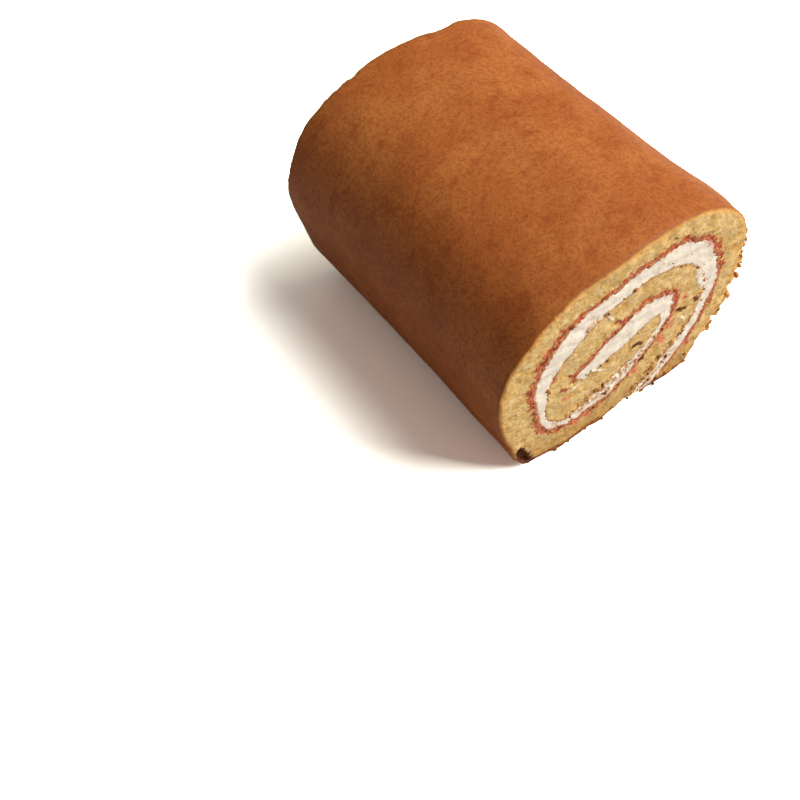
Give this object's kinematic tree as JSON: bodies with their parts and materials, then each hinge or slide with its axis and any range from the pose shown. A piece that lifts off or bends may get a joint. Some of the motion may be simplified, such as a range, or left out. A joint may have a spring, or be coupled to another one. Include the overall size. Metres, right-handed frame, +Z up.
{
  "type": "swiss roll cake",
  "caption": "Swiss roll cake cut at both ends: a rolled sponge sheet with a baked brown skin, spread with jam and filled with cream.",
  "frame": {"origin": "centre of the bounding box's underside, where the roll rests", "axes": "+Y along the roll, away from the shown cut, which faces -Y; +X to the right seen from that cut; +Z up"},
  "size_m": [0.0924, 0.098, 0.0783],
  "materials": {
    "sponge": "airy baked sponge crumb with a matt brown skin",
    "jam": "soft moist red fruit jam",
    "cream": "soft satin whipped cream"
  },
  "bodies": {
    "root": {"sponge": "sponge", "jam": "jam", "cream": "cream"}
  },
  "joints": []
}
